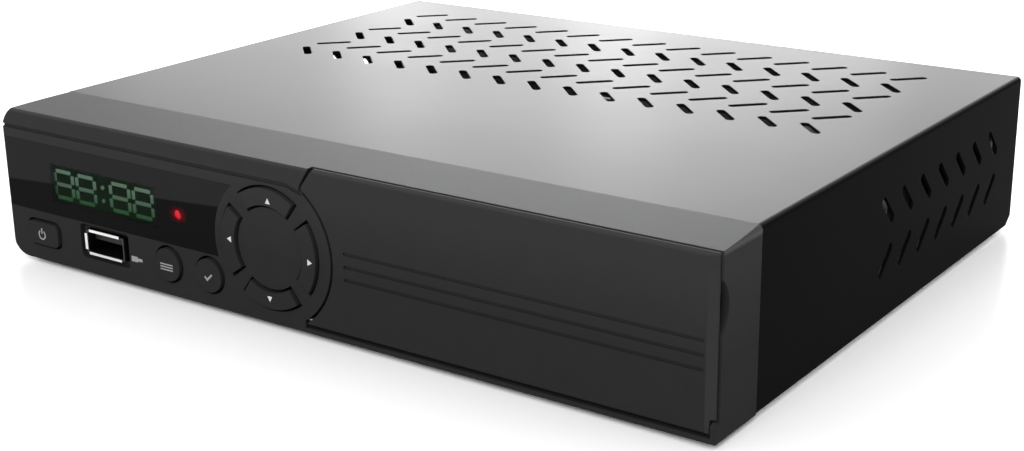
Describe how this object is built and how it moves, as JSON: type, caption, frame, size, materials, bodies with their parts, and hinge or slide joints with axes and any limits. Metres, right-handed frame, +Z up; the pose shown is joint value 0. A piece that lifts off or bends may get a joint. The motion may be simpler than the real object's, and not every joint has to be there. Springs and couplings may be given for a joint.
{
  "type": "satellite tv receiver",
  "caption": "Compact satellite TV receiver: vented steel case, plastic front with clock display, keys, a USB socket and a drop-down door.",
  "frame": {"origin": "under the middle of the whole receiver, on the surface its feet stand on", "axes": "+X towards the door end of the front, +Y towards the rear sockets, +Z up"},
  "size_m": [0.2062, 0.1722, 0.0414],
  "materials": {
    "front_plastic": "fine satin black",
    "door_plastic": "fine satin black",
    "key_plastic": "satin black",
    "lens_smoked": "smoked gloss",
    "lit_segment": "lit green",
    "red_lamp": "lit red",
    "black_plastic": "black",
    "grey_plastic": "grey",
    "white_plastic": "white",
    "yellow_plastic": "yellow",
    "red_plastic": "red",
    "case_paint": "fine semi-gloss black",
    "zinc_steel": "zinc plated",
    "bright_nickel": "bright nickel",
    "screw_steel": "zinc plated",
    "black_screw": "black",
    "green_laminate": "solder mask",
    "chip_black": "moulded",
    "black_aluminium": "anodised black",
    "plain_aluminium": "plain",
    "capacitor_sleeve": "sleeve",
    "ferrite": "dark ferrite",
    "winding_tape": "yellow tape",
    "fuse_glass": "clear",
    "flat_cable": "grey",
    "foot_rubber": "matt",
    "brass_plain": "plain"
  },
  "bodies": {
    "case": {"front_bezel": "front_plastic", "display_lens": "lens_smoked", "display_segments": "lit_segment", "display_module": "black_plastic", "standby_lamp": "red_lamp", "infrared_receiver": "black_plastic", "front_board": "green_laminate", "tact_switches": "grey_plastic", "usb_shell": "bright_nickel", "usb_tongue": "black_plastic", "usb_board": "green_laminate", "door_bay": "black_plastic", "card_reader": "black_plastic", "reader_board": "green_laminate", "bottom_chassis": "zinc_steel", "top_cover": "case_paint", "rear_panel": "zinc_steel", "rubber_feet": "foot_rubber", "cover_screws": "black_screw", "moulding_screws": "screw_steel", "main_board": "green_laminate", "power_board": "green_laminate", "standoffs": "brass_plain", "board_screws": "screw_steel", "processor": "chip_black", "heat_sink": "black_aluminium", "memory_chips": "chip_black", "board_capacitors": "capacitor_sleeve", "fuse": "fuse_glass", "mains_choke": "ferrite", "mains_capacitor": "capacitor_sleeve", "transformer_core": "ferrite", "transformer_winding": "winding_tape", "power_heat_sink": "plain_aluminium", "ribbon_headers": "white_plastic", "ribbon_cable": "flat_cable", "tuner_can": "zinc_steel", "aerial_connectors": "bright_nickel", "connector_nuts": "bright_nickel", "hdmi_shell": "bright_nickel", "hdmi_contact_tongue": "black_plastic", "optical_socket": "black_plastic", "network_socket": "bright_nickel", "phono_ring_video": "yellow_plastic", "phono_ring_left": "white_plastic", "phono_ring_right": "red_plastic", "phono_sockets": "bright_nickel", "mains_inlet": "black_plastic", "mains_inlet_pins": "bright_nickel", "mains_switch_case": "black_plastic"},
    "power_key": {"power_button": "key_plastic"},
    "menu_key": {"menu_button": "key_plastic"},
    "ok_key": {"ok_button": "key_plastic"},
    "up_key": {"up_button": "key_plastic"},
    "down_key": {"down_button": "key_plastic"},
    "left_key": {"left_button": "key_plastic"},
    "right_key": {"right_button": "key_plastic"},
    "door": {"door_flap": "door_plastic", "door_hinge_pins": "screw_steel"},
    "rocker": {"mains_rocker": "black_plastic"}
  },
  "joints": [
    {"name": "power_press", "type": "slide", "parent": "case", "child": "power_key", "axis": [0, 1, 0], "range_m": [0, 0.0006], "stiffness_N_per_m": 600, "springref_m": -0.0004},
    {"name": "menu_press", "type": "slide", "parent": "case", "child": "menu_key", "axis": [0, 1, 0], "range_m": [0, 0.0006], "stiffness_N_per_m": 600, "springref_m": -0.0004},
    {"name": "ok_press", "type": "slide", "parent": "case", "child": "ok_key", "axis": [0, 1, 0], "range_m": [0, 0.0006], "stiffness_N_per_m": 600, "springref_m": -0.0004},
    {"name": "up_press", "type": "slide", "parent": "case", "child": "up_key", "axis": [0, 1, 0], "range_m": [0, 0.0006], "stiffness_N_per_m": 600, "springref_m": -0.0004},
    {"name": "down_press", "type": "slide", "parent": "case", "child": "down_key", "axis": [0, 1, 0], "range_m": [0, 0.0006], "stiffness_N_per_m": 600, "springref_m": -0.0004},
    {"name": "left_press", "type": "slide", "parent": "case", "child": "left_key", "axis": [0, 1, 0], "range_m": [0, 0.0006], "stiffness_N_per_m": 600, "springref_m": -0.0004},
    {"name": "right_press", "type": "slide", "parent": "case", "child": "right_key", "axis": [0, 1, 0], "range_m": [0, 0.0006], "stiffness_N_per_m": 600, "springref_m": -0.0004},
    {"name": "door_hinge", "type": "hinge", "parent": "case", "child": "door", "pos_m": [0.0506, -0.084, 0.0042], "axis": [1, 0, 0], "range_deg": [0, 90]},
    {"name": "rocker_tilt", "type": "hinge", "parent": "case", "child": "rocker", "pos_m": [0.0896, 0.073, 0.0202], "axis": [-1, 0, 0], "range_deg": [0, 22]}
  ]
}
